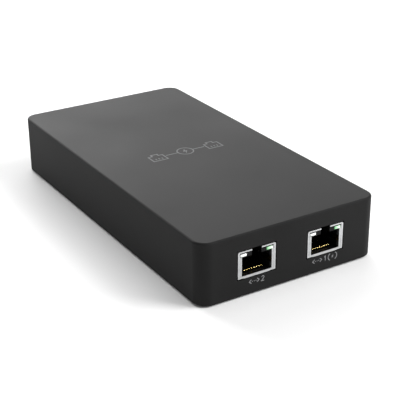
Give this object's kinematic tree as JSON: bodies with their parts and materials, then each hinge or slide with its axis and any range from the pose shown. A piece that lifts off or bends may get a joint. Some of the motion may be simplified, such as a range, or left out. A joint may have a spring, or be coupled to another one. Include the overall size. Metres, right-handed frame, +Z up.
{
  "type": "poe injector",
  "caption": "Flat rounded-corner power over Ethernet injector with shielded RJ45 data and powered-data sockets in one end wall and a mains appliance inlet in the other.",
  "frame": {"origin": "centre of the footprint at the underside of the rubber feet", "axes": "+Z up, +Y along the length towards the mains inlet, +X across; the RJ45 sockets face -Y"},
  "size_m": [0.077, 0.15, 0.025],
  "materials": {
    "housing_plastic": "matt moulded ABS, charcoal",
    "base_plastic": "matt moulded ABS, dark charcoal",
    "foot_rubber": "soft black rubber",
    "screw_steel": "zinc-plated steel",
    "label_film": "plain printed film, blank",
    "sheet_film": "translucent insulating film",
    "board_laminate": "green solder mask on glass laminate",
    "shield_tin": "bright tinned sheet",
    "insert_plastic": "black moulded thermoplastic",
    "contact_gold": "gold-plated bronze",
    "lens_clear": "clear light guide, unlit",
    "lens_green": "clear light guide, lit pale green",
    "pin_nickel": "nickel-plated brass",
    "fuse_glass": "glass tube with end caps",
    "disc_blue": "blue dipped coating",
    "disc_green": "dark green dipped coating",
    "film_cap_yellow": "yellow moulded case",
    "ferrite": "dark sintered ferrite",
    "copper_wire": "enamelled copper wire",
    "package_epoxy": "moulded epoxy package",
    "package_white": "white moulded package",
    "can_sleeve": "shrink sleeve over an aluminium can",
    "heatsink_aluminium": "mill-finish aluminium",
    "winding_tape": "yellow polyester tape",
    "chip_ceramic": "small ceramic chip parts"
  },
  "bodies": {
    "housing": {"top_cover": "housing_plastic", "base_plate": "base_plastic", "rubber_feet": "foot_rubber", "housing_screws": "screw_steel", "rating_label": "label_film", "insulation_sheet": "sheet_film", "main_board": "board_laminate", "board_screws": "screw_steel", "lan_jack_shield": "shield_tin", "lan_jack_insert": "insert_plastic", "lan_jack_leads": "contact_gold", "lan_jack_lens_left": "lens_clear", "lan_jack_lens_right": "lens_green", "poe_jack_shield": "shield_tin", "poe_jack_insert": "insert_plastic", "poe_jack_leads": "contact_gold", "poe_jack_lens_left": "lens_clear", "poe_jack_lens_right": "lens_green", "inlet_shell": "insert_plastic", "inlet_pins": "pin_nickel", "fuse": "fuse_glass", "varistor": "disc_blue", "inrush_thermistor": "disc_green", "x_capacitor": "film_cap_yellow", "choke_core": "ferrite", "choke_windings": "copper_wire", "bridge_rectifier": "package_epoxy", "bulk_capacitor": "can_sleeve", "primary_heatsink": "heatsink_aluminium", "primary_transistor": "package_epoxy", "controller_chip": "package_epoxy", "transformer_core": "ferrite", "transformer_bobbin": "package_epoxy", "transformer_winding": "winding_tape", "optocoupler": "package_white", "y_capacitor": "disc_blue", "output_heatsink": "heatsink_aluminium", "output_rectifier": "package_epoxy", "output_capacitors": "can_sleeve", "output_inductor": "ferrite", "poe_controller": "package_epoxy", "lan_magnetics": "package_epoxy", "poe_magnetics": "package_epoxy", "surface_mount_parts": "chip_ceramic"},
    "lan_contacts": {"lan_jack_contacts": "contact_gold"},
    "poe_contacts": {"poe_jack_contacts": "contact_gold"}
  },
  "joints": [
    {"name": "lan_contacts_flex", "type": "hinge", "parent": "housing", "child": "lan_contacts", "pos_m": [-0.015, -0.07225, 0.00892], "axis": [-1, 0, 0], "range_deg": [0, 12], "stiffness_Nm_per_rad": 0.2},
    {"name": "poe_contacts_flex", "type": "hinge", "parent": "housing", "child": "poe_contacts", "pos_m": [0.015, -0.07225, 0.00892], "axis": [-1, 0, 0], "range_deg": [0, 12], "stiffness_Nm_per_rad": 0.2}
  ]
}
